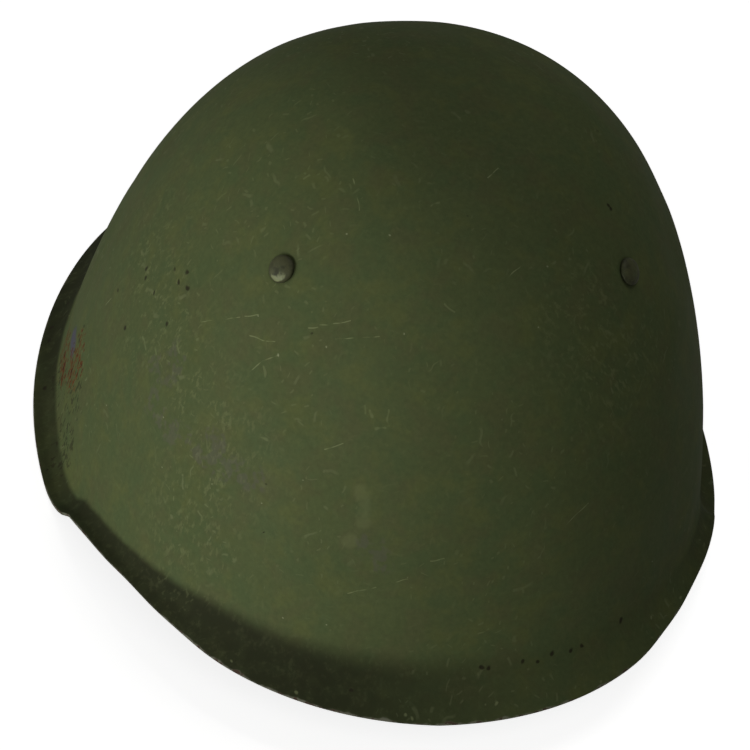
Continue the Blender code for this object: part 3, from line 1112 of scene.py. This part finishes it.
def paintRivets():
    look = SimpleNamespace(**rivetPaintLook)
    hue = paintColours
    finish = startPaint("rivetPaint", look)
    top = finish.share("headShare")
    patches = finish.noise(*look.patches)

    # painted highlight on the side that faces the low key light: its wearer's right front
    towardKey = vectorMath(finish.tree, "DOT_PRODUCT", finish.normal, look.rubbedSide)
    wearAndHighlight = (towardKey + (patches - 0.5) * look.rubbedRagged).ramp(*look.rubbedCut)
    wearAndHighlight = wearAndHighlight * top.ramp(*look.rubbedHeight)
    finish.lay(wearAndHighlight * look.rubbedStrength, hue["scratchAndHighlight"], roughness=0.42)
    # the head is darker in patches towards its foot
    darkerLow = top.ramp(*look.grimeHeight) * patches.ramp(*look.grimeCut)
    finish.lay(darkerLow * look.grimeStrength, hue["grimeAndShade"], roughness=0.75)
    spots = finish.use("chips", **look.spots)
    finish.lay(spots * look.spotStrength, hue["rustDeep"], roughness=0.85, depth=look.spotDepth)
    return finish.close(look.specular)


# The finishes need the bare sheet first, because the picture's marks are found on it

seats = makeSeats()
seatPlaces = [[vertex.co.copy()] for vertex in seats.data.vertices]
sheet = runGeometry("helmetSheet", shellTree(), {**shellShape, "seats": seats})
marker = Marker(sheet)
storeRegions(sheet, marker)
shellPaint = paintShell(marker, seatPlaces)
innerPaint = paintInside()
rivetPaint = paintRivets()
print("finishes made")

turned = turnRivet()
rivetSettings = {**rivetShape, "shell": sheet, "seats": seats, "rivet": turned, "paint": rivetPaint}
rivets = runGeometry("steelRivets", rivetTree(), rivetSettings)
for helper in (seats, turned):
    bpy.data.objects.remove(helper, do_unlink=True)
print("rivets set:", len(rivets.data.polygons), "faces")

sheet.data.materials.clear()
sheet.data.materials.append(shellPaint)
shell = thickenShell(sheet, innerPaint)
print("shell made:", len(shell.data.polygons), "faces")

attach(shell, "root")
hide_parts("shell")
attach(rivets, "root")
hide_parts("rivet_front_left", "rivet_front_right")


# Floor and light: a plain pale studio. A long soft light is low at the helmet's right, a smaller
# one high behind its left, another high over the visor, and a faint one low at the back

studio = {
    "floorSide": 12.0,
    "floorLevel": -0.0001,
    "floorColour": (0.80, 0.80, 0.79),
    "floorRoughness": 0.9,
    "floorGlow": 0.80,  # how far the camera sees the floor as lit evenly
    "white": (1.0, 1.0, 1.0, 1.0),
    "skyLight": 0.045,
    "skySeen": 0.95,
    "lightDistance": 1.9,
    # azimuth from +X, which is the wearer's left, elevation, power, width and height
    "lights": {
        "keyLight": (208, 4, 28.0, 2.4, 0.32),
        "backLight": (50, 66, 6.2, 1.0, 0.8),
        "fillLight": (272, 50, 3.6, 1.2, 0.8),
        "rearLight": (92, 14, 1.6, 1.6, 0.5),
    },
}


def makeFloor():
    bpy.ops.mesh.primitive_plane_add(size=studio["floorSide"], location=(0.0, 0.0, studio["floorLevel"]))
    floor = bpy.context.active_object
    floor.name = "studioFloor"
    material = bpy.data.materials.new("studioFloor")
    material.use_nodes = True
    tree = material.node_tree
    shader = tree.nodes["Principled BSDF"]
    shader.inputs["Base Color"].default_value = (*studio["floorColour"], 1.0)
    shader.inputs["Roughness"].default_value = studio["floorRoughness"]
    shader.inputs["Emission Color"].default_value = studio["white"]
    path = tree.nodes.new("ShaderNodeLightPath")
    glow = Formula(tree, path.outputs["Is Camera Ray"]) * studio["floorGlow"]
    connect(tree, glow, shader.inputs["Emission Strength"])
    floor.data.materials.append(material)


def makeSky():
    world = bpy.data.worlds.new("studioSky")
    scene.world = world
    world.use_nodes = True
    tree = world.node_tree
    path = tree.nodes.new("ShaderNodeLightPath")
    strength = mixed(tree, path.outputs["Is Camera Ray"], studio["skyLight"], studio["skySeen"])
    sky = tree.nodes["Background"]
    sky.inputs["Color"].default_value = studio["white"]
    connect(tree, strength, sky.inputs["Strength"])


def makeLight(name, azimuth, elevation, power, width, height):
    azimuth, elevation = math.radians(azimuth), math.radians(elevation)
    level = Vector((math.cos(azimuth), math.sin(azimuth), 0.0)) * math.cos(elevation)
    way = level + Vector((0.0, 0.0, math.sin(elevation)))
    data = bpy.data.lights.new(name, "AREA")
    data.shape = "RECTANGLE"
    data.size = width
    data.size_y = height
    data.energy = power
    light = addObject(name, data)
    turn = way.to_track_quat("Z", "Y").to_matrix().to_4x4()
    light.matrix_world = Matrix.Translation(photoView["middle"] + way * studio["lightDistance"]) @ turn


makeFloor()
makeSky()
for name, placing in studio["lights"].items():
    makeLight(name, *placing)
scene.view_settings.view_transform = "Standard"
print("studio lit")
